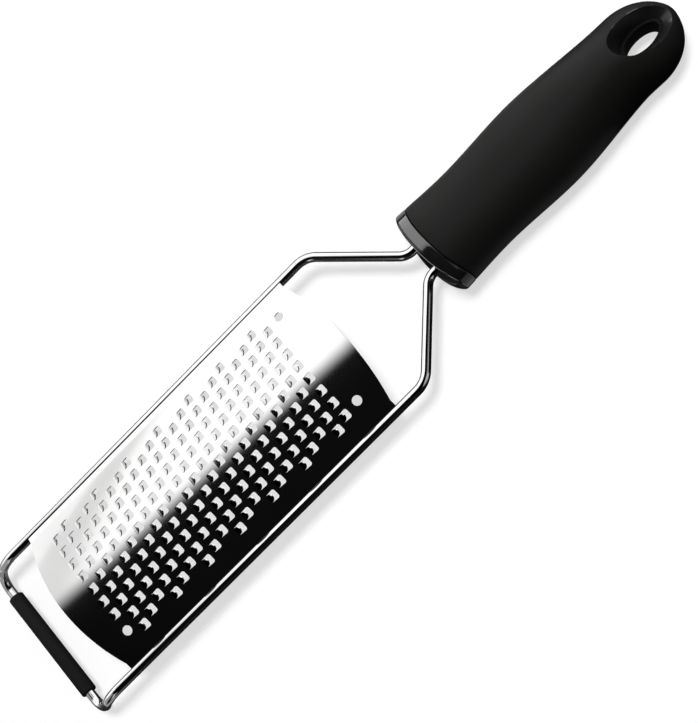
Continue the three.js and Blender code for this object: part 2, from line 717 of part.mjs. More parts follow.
// Front collar: a bowed gloss band with bevelled rims round the mouth
function frontCollar() {
  const ring = (back, inset) => sectionRing(back, halfSizes(back, inset), 1);
  return loft([
    ring(COLLAR_LENGTH, 0),
    ring(COLLAR_BEVEL, 0),
    ring(0, COLLAR_BEVEL),
    ring(0, HOLLOW_INSET - COLLAR_BEVEL / 2),
    ring(COLLAR_BEVEL / 2, HOLLOW_INSET),
    ring(COLLAR_LENGTH, HOLLOW_INSET),
  ], true);
}

// Assembly

const grater = new THREE.Group();

function addPiece(name, geometry, material) {
  const piece = new THREE.Mesh(geometry, material);
  piece.name = name;
  grater.add(piece);
  return piece;
}

addPiece('grating_blade', gratingBlade(), steel(0.12));
addPiece('wire_frame', wireFrame(), steel(0.1));
addPiece('foot_sleeve', footSleeve(), black(0x1c1c1c, 0.75)).position.set(0, FOOT_Y, -FOOT_DROP);
addPiece('handle_core', handleCore(), black(0x121212, 0.5));
addPiece('soft_grip', softGrip(), black(0x202020, 0.7));
addPiece('front_collar', frontCollar(), black(0x0c0c0c, 0.15));
for (const [name, side] of [['left', -1], ['right', 1]]) {
  for (let i = 0; i < WELDS_PER_RAIL; i += 1) {
    const y = (BLADE_LENGTH * (2 * i + 1 - WELDS_PER_RAIL)) / (2 * WELDS_PER_RAIL);
    addPiece(`weld_${name}_${i + 1}`, weldTack(side, y), steel(0.35));
  }
}

// The origin is the middle of the rectangle that the grater covers, on its lowest point
const bounds = new THREE.Box3().setFromObject(grater);
const middle = bounds.getCenter(new THREE.Vector3());
grater.position.set(0, -middle.y, -bounds.min.z);

export default grater;
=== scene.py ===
import math

import bmesh
import bpy
from mathutils import Matrix, Vector


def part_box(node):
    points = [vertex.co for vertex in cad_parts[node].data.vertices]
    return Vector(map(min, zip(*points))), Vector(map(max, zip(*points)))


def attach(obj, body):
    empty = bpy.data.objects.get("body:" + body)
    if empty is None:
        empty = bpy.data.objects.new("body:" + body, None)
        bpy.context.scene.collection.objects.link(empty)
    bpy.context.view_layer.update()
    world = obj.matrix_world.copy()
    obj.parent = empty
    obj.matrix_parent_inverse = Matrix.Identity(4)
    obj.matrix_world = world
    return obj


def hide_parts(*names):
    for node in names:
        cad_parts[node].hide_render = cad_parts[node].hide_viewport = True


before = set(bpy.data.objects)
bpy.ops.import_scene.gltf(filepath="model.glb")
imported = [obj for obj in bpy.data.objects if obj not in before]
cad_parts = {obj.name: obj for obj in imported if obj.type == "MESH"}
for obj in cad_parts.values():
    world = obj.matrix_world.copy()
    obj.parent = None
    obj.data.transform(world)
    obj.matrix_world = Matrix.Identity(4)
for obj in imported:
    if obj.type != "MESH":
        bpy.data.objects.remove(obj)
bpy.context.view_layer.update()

# Sizes in millimetres, laid out from the blade's middle and the rails' plane
MM = 0.001
SEAT_GAP = 0.3

# Wire frame
WIRE_RADIUS = 1.8
RAIL_X = 32.4
LEG_X = 5.6
CORNER_Y = 66.15
SHOULDER_Y = CORNER_Y + 12.8
LEG_Y = SHOULDER_Y + 26.0
FRONT_Y = LEG_Y + 6.7
LEG_DROP = 2.0
LEG_DEPTH = 40.0
FOOT_BEND_Y = -CORNER_Y - 14.4
FOOT_Y = FOOT_BEND_Y - 7.7
FOOT_DROP = 8.7
LEG_BEND, SHOULDER_BEND, FOOT_BEND, CORNER_BEND = 7.0, 10.0, 11.5, 6.2
WIRE_SIDES = 40
BEND_STEPS = 14

# Blade: s is measured round the arch, from its middle line
BLADE_THICKNESS = 0.5
ARCH_RADIUS = 86.8
EDGE_X = RAIL_X - 0.7
EDGE_TRIM = 0.35
END_CROWN = 4.3
LIP_WIDTH = 3.0
ROW_PITCH = 5.4
COLUMN_PITCH = 6.05
THIRD = COLUMN_PITCH / 3
ROW_COUNT = 21
FIRST_ROW_Y = CORNER_Y - 14.85
PLAIN_EDGE = 4.2
OPENING_WIDTH = 3.75
OPENING_LENGTH = 3.65
OPENING_CORNER = 0.85
SLOT_INSET = 0.25
TONGUE_LENGTH = 1.75
TONGUE_TURNS = (24, 46, 65, 82)
TONGUE_CURL = 1.25
TOOTH_RISE = 0.9
HOLE_RADIUS = 1.85
HOLE_MARGIN = 0.2
HOLE_SIDES = 32
HEAD_HOLE_S = 21.4
HEAD_HOLE_RISE = 6.6
FOOT_HOLE_INSET = 4.3
FOOT_HOLE_DROP = 0.75

# Foot sleeve
SLEEVE_RADIUS = 2.92
SLEEVE_LENGTH = 46.8
SLEEVE_ROUND = 0.6
SLEEVE_SIDES = 48

# Handle: its stations are measured back from its front
HANDLE_LENGTH = 117.4
WAIST_AT, BELLY_AT, NECK_AT, HEAD_AT = 23.0, 56.0, 89.5, 99.5
WIDTHS = [(0, 35.8), (WAIST_AT, 33.6), (BELLY_AT, 35.8), (NECK_AT, 29.2), (HEAD_AT, 29.8)]
RISES = [
    (0, 13.3), (WAIST_AT, 12.8), (BELLY_AT, 15.0),
    (NECK_AT, 17.6), (HEAD_AT, 14.2), (HANDLE_LENGTH, 8.0),
]
DROPS = [
    (0, 13.3), (WAIST_AT, 12.8), (BELLY_AT, 13.6),
    (NECK_AT, 11.5), (HEAD_AT, 10.5), (HANDLE_LENGTH, 7.0),
]
HANDLE_DROOP = 2.6
SECTION_FULLNESS = 2.4
SECTION_POINTS = 72
END_FULLNESS = 0.3
END_TURN = 0.49 * math.pi
UPPER_BOW, LOWER_BOW, BOW_REACH = 2.9, 4.3, 16.0
COLLAR_LENGTH = 4.8
COLLAR_BEVEL = 1.1
BEVEL_STEPS = 5
MOUTH_DEPTH = 2.0
MOUTH_ROUND = 0.4
GRIP_WALL = 3.4
GRIP_FRONT = COLLAR_LENGTH + SEAT_GAP
GRIP_LIP = 0.35
SKIN_INSET = 0.05
HOLLOW_INSET = GRIP_WALL - SEAT_GAP
SOCKET_SIDES = 32

# Hanging hole
HOLE_AT = 102.6
PLATE_HALF = 4.75
EYELET_WIDTH, EYELET_LENGTH = 7.4, 15.0
THROAT_WIDTH, THROAT_LENGTH = 9.8, 17.2
RIM_WIDTH, RIM_LENGTH = 16.2, 25.3
UPPER_RIM_RISE, UPPER_RIM_SLOPE = 12.6, -0.44
LOWER_RIM_DROP, LOWER_RIM_SLOPE = 9.6, 0.2
FUNNEL_RUN = 10
RIM_ROUND, EYELET_ROUND = 0.6, 0.7
RIM_BAND = (0.9, 1.12)
RIM_SHARPNESS = math.radians(24)
ROUND_STEPS = 4

# Weld tacks: counts, then shares of the box that each one fills
BEAD_STEPS = 22
BEAD_SIDES = 16
BEAD_FILL = 0.42
BEAD_FULLNESS = 0.4
BEAD_RIPPLE = 0.08
BEAD_END = 0.04

# Distances in metres under which points count as one, edges as nothing, places as the same
MERGE = 5e-6
SLIVER = 2e-6
NEAR = MM / 100

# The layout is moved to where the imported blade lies
EDGE_ANGLE = math.asin(EDGE_X / ARCH_RADIUS)
EDGE_S = ARCH_RADIUS * EDGE_ANGLE
UNDER_RADIUS = ARCH_RADIUS - BLADE_THICKNESS
UNDER_EDGE_X = UNDER_RADIUS * math.sin(EDGE_ANGLE)
UNDER_EDGE_Z = math.sqrt((WIRE_RADIUS + SEAT_GAP) ** 2 - (RAIL_X - UNDER_EDGE_X) ** 2)
ARCH_CENTRE_Z = UNDER_EDGE_Z - UNDER_RADIUS * math.cos(EDGE_ANGLE)
blade_low, blade_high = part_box("grating_blade")
SHIFT = Vector((0, (blade_low.y + blade_high.y) / 2, blade_low.z - UNDER_EDGE_Z * MM))


def place(x, y, z):
    return Vector((x, y, z)) * MM + SHIFT


# Modelling steps

def begin(add, name, **settings):
    bpy.ops.object.select_all(action="DESELECT")
    add(**settings)
    piece = bpy.context.object
    piece.name = name
    piece.data.name = name
    bpy.ops.object.transform_apply(location=True, rotation=True, scale=True)
    return piece


def edit(piece):
    bpy.ops.object.select_all(action="DESELECT")
    piece.select_set(True)
    bpy.context.view_layer.objects.active = piece
    bpy.ops.object.mode_set(mode="EDIT")
    bpy.ops.mesh.select_mode(type="VERT")
    bpy.ops.mesh.select_all(action="SELECT")


def leave():
    bpy.ops.object.mode_set(mode="OBJECT")


def select(kind, test):
    bpy.ops.mesh.select_mode(type=kind)
    bpy.ops.mesh.select_all(action="DESELECT")
    mesh = bpy.context.object.data
    shape = bmesh.from_edit_mesh(mesh)
    for part in {"VERT": shape.verts, "EDGE": shape.edges, "FACE": shape.faces}[kind]:
        if test(part):
            part.select_set(True)
    shape.select_flush_mode()
    bmesh.update_edit_mesh(mesh)


def select_open_edges():
    bpy.ops.mesh.select_all(action="DESELECT")
    bpy.ops.mesh.select_non_manifold(
        use_wire=False, use_multi_face=False, use_non_contiguous=False, use_verts=False,
    )


def run(step):
    bpy.ops.mesh.extrude_region_move(TRANSFORM_OT_translate={"value": step})


def extrude_to(moved):
    run((0, 0, 0))
    mesh = bpy.context.object.data
    shape = bmesh.from_edit_mesh(mesh)
    for vertex in shape.verts:
        if vertex.select:
            vertex.co = moved(vertex.co)
    bmesh.update_edit_mesh(mesh)


def apply(piece, kind, **settings):
    bpy.context.view_layer.objects.active = piece
    modifier = piece.modifiers.new(kind, kind)
    for name, value in settings.items():
        setattr(modifier, name, value)
    bpy.ops.object.modifier_apply(modifier=modifier.name)


def cut(piece, cutter):
    apply(piece, "BOOLEAN", operation="DIFFERENCE", solver="EXACT", object=cutter)
    bpy.data.objects.remove(cutter)


def copied(piece):
    twin = piece.copy()
    twin.data = piece.data.copy()
    bpy.context.collection.objects.link(twin)
    return twin


def close_up(piece):
    edit(piece)
    bpy.ops.mesh.remove_doubles(threshold=MERGE)
    select_open_edges()
    bpy.ops.mesh.fill_holes(sides=0)
    bpy.ops.mesh.select_all(action="SELECT")
    bpy.ops.mesh.normals_make_consistent(inside=False)
    leave()


def smooth(piece, angle):
    bpy.ops.object.select_all(action="DESELECT")
    piece.select_set(True)
    bpy.context.view_layer.objects.active = piece
    bpy.ops.object.shade_smooth_by_angle(angle=math.radians(angle))


# A circle whose points are put on the given spots, open for editing
def begin_ring(name, spots):
    piece = begin(bpy.ops.mesh.primitive_circle_add, name, vertices=len(spots), radius=MM)
    for vertex, spot in zip(piece.data.vertices, spots):
        vertex.co = spot
    edit(piece)
    return piece


# An extruded point goes from its spot in one ring to the same spot in the next
def onwards(before, after):
    def moved(co):
        nearest = min(range(len(before)), key=lambda i: (before[i] - co).length_squared)
        return after[nearest]

    return moved


# A circle, extruded from ring to ring, and joined to itself or closed at both ends
def ring_body(name, rings, joined=False):
    piece = begin_ring(name, rings[0])
    for before, after in zip(rings, rings[1:]):
        extrude_to(onwards(before, after))
    if joined:
        select_open_edges()
        bpy.ops.mesh.bridge_edge_loops()
    leave()
    close_up(piece)
    return piece


# Wire frame: one half is drawn from the leg's end to the middle of the foot bar, then mirrored
def bent_wire():
    stops = [
        (place(LEG_X, FRONT_Y + LEG_DEPTH, -LEG_DROP), 0),
        (place(LEG_X, LEG_Y, -LEG_DROP), LEG_BEND),
        (place(RAIL_X, SHOULDER_Y, 0), SHOULDER_BEND),
        (place(RAIL_X, FOOT_BEND_Y, 0), FOOT_BEND),
        (place(RAIL_X, FOOT_Y, -FOOT_DROP), CORNER_BEND),
        (place(0, FOOT_Y, -FOOT_DROP), 0),
    ]
    here = stops[0][0]
    piece = begin(
        bpy.ops.mesh.primitive_circle_add, "bent_wire", vertices=WIRE_SIDES, radius=WIRE_RADIUS * MM,
        location=here, rotation=(math.pi / 2, 0, 0),
    )
    edit(piece)
    for (before, _), (corner, radius), (after, _) in zip(stops, stops[1:], stops[2:]):
        into = (corner - before).normalized()
        out = (after - corner).normalized()
        turn = into.angle(out)
        reach = radius * MM * math.tan(turn / 2)
        start = corner - into * reach
        run(start - here)
        inwards = (out - into * out.dot(into)).normalized()
        bpy.ops.mesh.spin(
            steps=BEND_STEPS, angle=-turn, center=start + inwards * radius * MM, axis=into.cross(inwards),
        )
        here = corner + out * reach
    run(stops[-1][0] - here)
    leave()
    apply(piece, "MIRROR", use_axis=(True, False, False), merge_threshold=MERGE)
    close_up(piece)
    smooth(piece, 40)
    return piece


# Foot sleeve: a tube with a bore, rounded at its outer ends
def rubber_sleeve():
    bar = place(0, FOOT_Y, -FOOT_DROP)
    half = SLEEVE_LENGTH / 2 * MM

    def at_end(face):
        return abs(face.normal.x) > 0.9

    def at_bore(face):
        return at_end(face) and (face.calc_center_median() - bar).yz.length < MM / 2

    def on_outer_rim(edge):
        return all(
            abs(abs(v.co.x) - half) < NEAR and (v.co - bar).yz.length > (SLEEVE_RADIUS - 0.1) * MM
            for v in edge.verts
        )

    piece = begin(
        bpy.ops.mesh.primitive_cylinder_add, "rubber_sleeve", vertices=SLEEVE_SIDES,
        radius=SLEEVE_RADIUS * MM, depth=2 * half, location=bar, rotation=(0, math.pi / 2, 0),
    )
    edit(piece)
    select("FACE", at_end)
    bpy.ops.mesh.inset(thickness=(SLEEVE_RADIUS - WIRE_RADIUS - SEAT_GAP) * MM, use_individual=True)
    select("FACE", at_bore)
    bpy.ops.mesh.bridge_edge_loops()
    select("EDGE", on_outer_rim)
    bpy.ops.mesh.bevel(offset=SLEEVE_ROUND * MM, segments=ROUND_STEPS, affect="EDGES")
    leave()
    close_up(piece)
    smooth(piece, 50)
    return piece


# Handle sections, read from smooth lines through the stations
def smooth_line(stations):
    def slope(i):
        before, after = stations[max(i - 1, 0)], stations[min(i + 1, len(stations) - 1)]
        return (after[1] - before[1]) / (after[0] - before[0])

    def value(at):
        i = next((k for k in range(len(stations) - 1) if stations[k + 1][0] > at), len(stations) - 2)
        (from_at, low), (to_at, high) = stations[i], stations[i + 1]
        span = to_at - from_at
        t = min(max((at - from_at) / span, 0), 1)
        rise = (2 * t ** 3 - 3 * t ** 2 + 1) * low + (3 * t ** 2 - 2 * t ** 3) * high
        lean = (t ** 3 - 2 * t ** 2 + t) * slope(i) + (t ** 3 - t ** 2) * slope(i + 1)
        return rise + lean * span

    return value


width_at = smooth_line(WIDTHS)
rise_at = smooth_line(RISES)
drop_at = smooth_line(DROPS)
middle_at = smooth_line([
    (0, -LEG_DROP),
    (BELLY_AT, -LEG_DROP - HANDLE_DROOP / 2),
    (HEAD_AT, -LEG_DROP - HANDLE_DROOP),
])
HEAD_MIDDLE = middle_at(HEAD_AT)
HOLE_MIDDLE = place(0, FRONT_Y + HOLE_AT, HEAD_MIDDLE)
COLLAR_MIDDLE = place(0, FRONT_Y, -LEG_DROP)


def half_sizes(back, inset):
    return width_at(back) / 2 - inset, rise_at(back) - inset, drop_at(back) - inset


# Towards the head, the half sizes thin to those of the eyelet plate
def thinned(back, half, plate):
    t = min(max((back - BELLY_AT) / (NECK_AT - BELLY_AT), 0), 1)
    share = t * t * (3 - 2 * t)
    side, rise, drop = half
    return side, rise + (plate - rise) * share, drop + (plate - drop) * share


# Half sizes over the head's rounded end too; the turn runs from the head to the end
def closed_half(back, inset):
    reach = HANDLE_LENGTH - HEAD_AT - inset
    turn = math.asin(min(max((back - HEAD_AT) / reach, 0), 1))
    side, rise, drop = half_sizes(back, inset)
    close = math.cos(turn) ** END_FULLNESS
    return side * math.cos(turn), rise * close, drop * close


# One ring round the handle; its top and bottom bow forwards
def section(back, half, bow=0.0):
    side, rise, drop = half
    power = 2 / SECTION_FULLNESS
    ring = []
    for i in range(SECTION_POINTS):
        angle = 2 * math.pi * i / SECTION_POINTS
        across = math.copysign(abs(math.cos(angle)) ** power, math.cos(angle))
        up = math.copysign(abs(math.sin(angle)) ** power, math.sin(angle))
        full_bow = UPPER_BOW if up > 0 else LOWER_BOW
        y = FRONT_Y + back - bow * full_bow * math.sin(angle) ** 2
        ring.append(place(side * across, y, middle_at(back) + (rise if up > 0 else drop) * up))
    return ring


# Where the rings stand, from the front to the rounded end
def skin_backs(front, inset, body_steps=34, end_steps=18):
    reach = HANDLE_LENGTH - HEAD_AT - inset
    body = [front + (HEAD_AT - front) * i / body_steps for i in range(body_steps + 1)]
    return body + [HEAD_AT + reach * math.sin(END_TURN * i / end_steps) for i in range(1, end_steps + 1)]


def hole_ring(width, length, height, slope=0.0):
    ring = []
    for i in range(SECTION_POINTS):
        angle = 2 * math.pi * i / SECTION_POINTS
        along = length / 2 * math.sin(angle)
        ring.append(place(
            width / 2 * math.cos(angle), FRONT_Y + HOLE_AT + along, HEAD_MIDDLE + height + slope * along,
        ))
    return ring


# Funnels from both sides of the head to the eyelet
def funnel(name):
    return ring_body(name, [
        hole_ring(RIM_WIDTH, RIM_LENGTH, -LOWER_RIM_DROP - FUNNEL_RUN, LOWER_RIM_SLOPE),
        hole_ring(RIM_WIDTH, RIM_LENGTH, -LOWER_RIM_DROP, LOWER_RIM_SLOPE),
        hole_ring(THROAT_WIDTH, THROAT_LENGTH, -PLATE_HALF),
        hole_ring(THROAT_WIDTH, THROAT_LENGTH, PLATE_HALF),
        hole_ring(RIM_WIDTH, RIM_LENGTH, UPPER_RIM_RISE, UPPER_RIM_SLOPE),
        hole_ring(RIM_WIDTH, RIM_LENGTH, UPPER_RIM_RISE + FUNNEL_RUN, UPPER_RIM_SLOPE),
    ])


def from_hole(co):
    return (co - HOLE_MIDDLE) / MM


# 1 on an oval of this width and length round the hole's axis, and less inside it
def oval_reach(off, width, length):
    return math.hypot(off.x / (width / 2), off.y / (length / 2))


# Rounds the sharp edges near an oval that lie further than clear from the head's middle plane
def round_rims(piece, width, length, clear, offset):
    def on_rim(edge):
        if len(edge.link_faces) != 2 or edge.calc_face_angle(0) < RIM_SHARPNESS:
            return False
        offs = [from_hole(v.co) for v in edge.verts]
        near_oval = all(RIM_BAND[0] < oval_reach(off, width, length) < RIM_BAND[1] for off in offs)
        return near_oval and all(abs(off.z) > clear for off in offs)

    edit(piece)
    select("EDGE", on_rim)
    bpy.ops.mesh.bevel(offset=offset * MM, segments=ROUND_STEPS, affect="EDGES", clamp_overlap=True)
    leave()


# Soft grip: from the hollow's closed end out to its front, over the lip and back along the skin
def soft_grip():
    def bow_at(back):
        return max(0, 1 - (back - GRIP_FRONT) / BOW_REACH) ** 2

    inside = []
    for back in skin_backs(GRIP_FRONT, HOLLOW_INSET, 12, 8):
        half = thinned(back, closed_half(back, HOLLOW_INSET), PLATE_HALF + SEAT_GAP)
        inside.append(section(back, half, 1.0 if back == GRIP_FRONT else 0.0))
    outside = []
    for back, inset in ((GRIP_FRONT, GRIP_LIP), (GRIP_FRONT + GRIP_LIP * 0.3, GRIP_LIP * 0.3)):
        outside.append(section(back, half_sizes(GRIP_FRONT, inset), 1.0))
    for back in skin_backs(GRIP_FRONT + GRIP_LIP, SKIN_INSET):
        outside.append(section(back, closed_half(back, SKIN_INSET), bow_at(back)))
    piece = ring_body("grip_skin", inside[::-1] + outside)
    cut(piece, funnel("grip_funnel"))
    round_rims(piece, RIM_WIDTH, RIM_LENGTH, PLATE_HALF + 1, RIM_ROUND)
    smooth(piece, 38)
    return piece


# Collar: from its back edge along the outside, round the front edge and back along the inside
def front_collar():
    def ring(back, inset):
        return section(back, half_sizes(back, inset), 1.0)

    rings = [ring(COLLAR_LENGTH, 0.25), ring(COLLAR_LENGTH - 0.08, 0.08), ring(COLLAR_LENGTH - 0.25, 0.0)]
    rings += [ring(COLLAR_LENGTH * share, 0.0) for share in (0.75, 0.5, 0.3)]
    for i in range(BEVEL_STEPS + 1):
        turn = math.pi / 2 * i / BEVEL_STEPS
        rings.append(ring(COLLAR_BEVEL * (1 - math.sin(turn)), COLLAR_BEVEL * (1 - math.cos(turn))))
    rings += [ring(0.0, HOLLOW_INSET - 0.5), ring(0.15, HOLLOW_INSET - 0.15), ring(0.5, HOLLOW_INSET)]
    rings += [ring(COLLAR_LENGTH * 0.6, HOLLOW_INSET), ring(COLLAR_LENGTH, HOLLOW_INSET)]
    piece = ring_body("gloss_collar", rings, joined=True)
    smooth(piece, 50)
    return piece


# Core: a closed body with the eyelet through its plate and a socket for each leg of the wire
def handle_core():
    rings = [section(MOUTH_DEPTH, half_sizes(MOUTH_DEPTH, GRIP_WALL + MOUTH_ROUND))]
    for back in skin_backs(MOUTH_DEPTH + MOUTH_ROUND, GRIP_WALL, 14, 10):
        rings.append(section(back, thinned(back, closed_half(back, GRIP_WALL), PLATE_HALF)))
    piece = ring_body("core_body", rings)
    cut(piece, ring_body("eyelet_cut", [
        hole_ring(EYELET_WIDTH, EYELET_LENGTH, -2 * PLATE_HALF),
        hole_ring(EYELET_WIDTH, EYELET_LENGTH, 2 * PLATE_HALF),
    ]))
    round_rims(piece, EYELET_WIDTH, EYELET_LENGTH, PLATE_HALF - 0.5, EYELET_ROUND)
    socket_depth = LEG_DEPTH + SEAT_GAP
    for side in (-1, 1):
        socket = begin(
            bpy.ops.mesh.primitive_cylinder_add, "socket_cut", vertices=SOCKET_SIDES,
            radius=(WIRE_RADIUS + SEAT_GAP) * MM, depth=socket_depth * MM, rotation=(math.pi / 2, 0, 0),
            location=place(side * LEG_X, FRONT_Y + socket_depth / 2, -LEG_DROP),
        )
        cut(piece, socket)
    smooth(piece, 40)
    return piece


# Blade: a flat grid in which cells are swapped for teeth, then given its thickness and bent round the arch
def row_y(row):
    return FIRST_ROW_Y - row * ROW_PITCH


LINE_COUNT = int((EDGE_S - PLAIN_EDGE) / THIRD - 0.5)
LINES = [(j + 0.5) * THIRD for j in range(-LINE_COUNT - 1, LINE_COUNT + 1)]
LIP_S = EDGE_S - LIP_WIDTH
SHEET_COLUMNS = [EDGE_TRIM - EDGE_S, -LIP_S] + LINES + [LIP_S, EDGE_S - EDGE_TRIM]
FIRST_LINE = row_y(0) + ROW_PITCH / 2
STRIP_LINE = 2 * (row_y(0) + HEAD_HOLE_RISE) - FIRST_LINE
SHEET_ROWS = [FIRST_LINE - ROW_PITCH * i for i in range(ROW_COUNT, -1, -1)] + [STRIP_LINE]
PLAIN_FACING = 0.995


# Each row steps sideways by a third of a column, and the last one leaves room for the foot hole
def tooth_places(row):
    shift = (-1 / 3, 0, 1 / 3)[row % 3]
    reach = (EDGE_S - PLAIN_EDGE) / COLUMN_PITCH - 0.5
    columns = range(math.ceil(-reach - shift), math.floor(reach - shift) + 1)
    spots = [(k + shift) * COLUMN_PITCH for k in columns]
    return spots[:-1] if row == ROW_COUNT - 1 else spots


# One cell with an opening, and a tongue that bends up from the opening's near side
def tooth_tile():
    half, top, foot = OPENING_WIDTH / 2, OPENING_LENGTH / 2, -OPENING_LENGTH / 2
    slot = half - SLOT_INSET
    w, p = COLUMN_PITCH / 2, ROW_PITCH / 2
    right = []
    for i in range(4):
        turn = math.pi / 2 * i / 3
        x = half - OPENING_CORNER * (1 - math.cos(turn))
        right.append((x, top - OPENING_CORNER * (1 - math.sin(turn))))
    left = [(-x, y) for x, y in reversed(right)]
    opening = [(-slot, foot), (-slot / 3, foot), (slot / 3, foot), (slot, foot)] + right + left
    cell = [(-w, -p), (-w / 3, -p), (w / 3, -p), (w, -p), (w, p), (w, p), (w, p), (w / 3, p)]
    cell += [(-w / 3, p), (-w, p), (-w, p), (-w, p)]
    inner, outer = [[Vector((x, y, 0)) * MM for x, y in outline] for outline in (opening, cell)]

    def at_foot(vertex):
        return abs(vertex.co.y - foot * MM) < NEAR and abs(vertex.co.x) < slot * MM + NEAR

    piece = begin_ring("tooth", inner)
    extrude_to(onwards(inner, outer))
    select("EDGE", lambda edge: all(at_foot(v) for v in edge.verts))
    before = 1.0
    for turn in TONGUE_TURNS:
        t = math.radians(turn)
        narrow = math.cos(t) / before
        before = math.cos(t)
        rise = TOOTH_RISE * math.sin(t) ** TONGUE_CURL
        reach = foot + TONGUE_LENGTH * math.sin(t)
        extrude_to(lambda co: Vector((co.x * narrow, reach * MM, rise * MM)))
    bpy.ops.mesh.select_all(action="SELECT")
    bpy.ops.mesh.remove_doubles(threshold=MERGE)
    leave()
    return piece


# A copy of the tile for each row, repeated along it
def rows_of_teeth():
    tile = tooth_tile()
    rows = []
    for row in range(ROW_COUNT):
        spots = tooth_places(row)
        teeth = copied(tile)
        apply(
            teeth, "ARRAY", count=len(spots), use_relative_offset=False, use_constant_offset=True,
            constant_offset_displace=(COLUMN_PITCH * MM, 0, 0),
        )
        teeth.data.transform(Matrix.Translation(Vector((spots[0], row_y(row), 0)) * MM))
        rows.append(teeth)
    bpy.data.objects.remove(tile)
    return rows


def end_y(s, side):
    return side * (CORNER_Y + END_CROWN * max(0, 1 - (s / LIP_S) ** 2))


def flat_sheet():
    across, along = len(SHEET_COLUMNS) - 1, len(SHEET_ROWS) + 1
    piece = begin(
        bpy.ops.mesh.primitive_grid_add, "arched_blade",
        x_subdivisions=across, y_subdivisions=along, size=2,
    )
    for vertex in piece.data.vertices:
        s = SHEET_COLUMNS[round((vertex.co.x + 1) / 2 * across)]
        j = round((vertex.co.y + 1) / 2 * along)
        if j == 0:
            y = end_y(s, -1)
        elif j == along:
            y = end_y(s, 1)
        else:
            y = SHEET_ROWS[j - 1]
        vertex.co = Vector((s, y, 0)) * MM
    return piece


# The cells round s, y, from the line low to the line high, are swapped for a round hole and its rim
def open_hole(low, high, s, y):
    from_s = max(line for line in SHEET_COLUMNS if line < s - HOLE_RADIUS - HOLE_MARGIN)
    to_s = min(line for line in SHEET_COLUMNS if line > s + HOLE_RADIUS + HOLE_MARGIN)

    def within(co):
        return (
            from_s * MM - NEAR < co.x < to_s * MM + NEAR
            and low * MM - NEAR < co.y < high * MM + NEAR
        )

    def on_rim(edge):
        return edge.is_wire or (edge.is_boundary and all(within(v.co) for v in edge.verts))

    select("FACE", lambda face: within(face.calc_center_median()))
    bpy.ops.mesh.delete(type="FACE")
    bpy.ops.mesh.primitive_circle_add(
        vertices=HOLE_SIDES, radius=HOLE_RADIUS * MM, location=(s * MM, y * MM, 0),
    )
    select("EDGE", on_rim)
    bpy.ops.mesh.bridge_edge_loops()


def open_sheet(piece):
    teeth = {(row, s) for row in range(ROW_COUNT) for s in tooth_places(row)}

    def in_tooth(face):
        x, y, _ = face.calc_center_median() / MM
        return any(
            abs(x - s) < COLUMN_PITCH / 2 and abs(y - row_y(row)) < ROW_PITCH / 2 for row, s in teeth
        )

    edit(piece)
    foot_s = tooth_places(ROW_COUNT - 1)[-1] + COLUMN_PITCH / 2 + FOOT_HOLE_INSET
    foot_y = row_y(ROW_COUNT - 1)
    open_hole(foot_y - ROW_PITCH / 2, foot_y + ROW_PITCH / 2, foot_s, foot_y - FOOT_HOLE_DROP)
    for s in (-HEAD_HOLE_S, HEAD_HOLE_S):
        open_hole(FIRST_LINE, STRIP_LINE, s, (FIRST_LINE + STRIP_LINE) / 2)
    select("FACE", in_tooth)
    bpy.ops.mesh.delete(type="FACE")
    leave()


# The plain parts of the sheet take the arch's own normals, so that they mirror without facets
def smooth_arch(piece):
    mesh = piece.data
    centre = place(0, 0, ARCH_CENTRE_Z)
    normals = [corner.vector.copy() for corner in mesh.corner_normals]
    for face in mesh.polygons:
        for corner in face.loop_indices:
            out = mesh.vertices[mesh.loops[corner].vertex_index].co - centre
            out.y = 0
            out.normalize()
            facing = face.normal.dot(out)
            if abs(facing) > PLAIN_FACING:
                normals[corner] = out if facing > 0 else -out
    mesh.normals_split_custom_set(normals)


def arched_blade():
    piece = flat_sheet()
    open_sheet(piece)
    rows = rows_of_teeth()
    bpy.ops.object.select_all(action="DESELECT")
    for teeth in rows:
        teeth.select_set(True)
    piece.select_set(True)
    bpy.context.view_layer.objects.active = piece
    bpy.ops.object.join()
    edit(piece)
    bpy.ops.mesh.remove_doubles(threshold=MERGE)
    bpy.ops.mesh.dissolve_degenerate(threshold=SLIVER)
    bpy.ops.mesh.normals_make_consistent(inside=False)
    leave()
    if sum(face.normal.z * face.area for face in piece.data.polygons) < 0:
        piece.data.flip_normals()
    apply(piece, "SOLIDIFY", thickness=BLADE_THICKNESS * MM, offset=-1)
    for vertex in piece.data.vertices:
        s, y, height = vertex.co / MM
        radius = ARCH_RADIUS + height
        angle = s / ARCH_RADIUS
        vertex.co = place(radius * math.sin(angle), y, ARCH_CENTRE_Z + radius * math.cos(angle))
    smooth(piece, 35)
    smooth_arch(piece)
    return piece


# Weld tack: a rippled bead in the corner between the sheet's underside and a rail
def weld_bead(node):
    low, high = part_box(node)
    middle = (low + high) / 2
    size = high - low
    rings = []
    for i in range(BEAD_STEPS + 1):
        t = i / BEAD_STEPS
        swell = math.sin(math.pi * min(max(t, BEAD_END), 1 - BEAD_END)) ** BEAD_FULLNESS
        fill = BEAD_FILL * swell * (1 - BEAD_RIPPLE * (i % 2))
        ring = []
        for k in range(BEAD_SIDES):
            angle = 2 * math.pi * k / BEAD_SIDES
            ring.append(Vector((
                middle.x + size.x * fill * math.cos(angle),
                low.y + size.y * t,
                middle.z + size.z * fill * math.sin(angle),
            )))
        rings.append(ring)
    piece = ring_body("weld_bead", rings)
    smooth(piece, 60)
    return piece


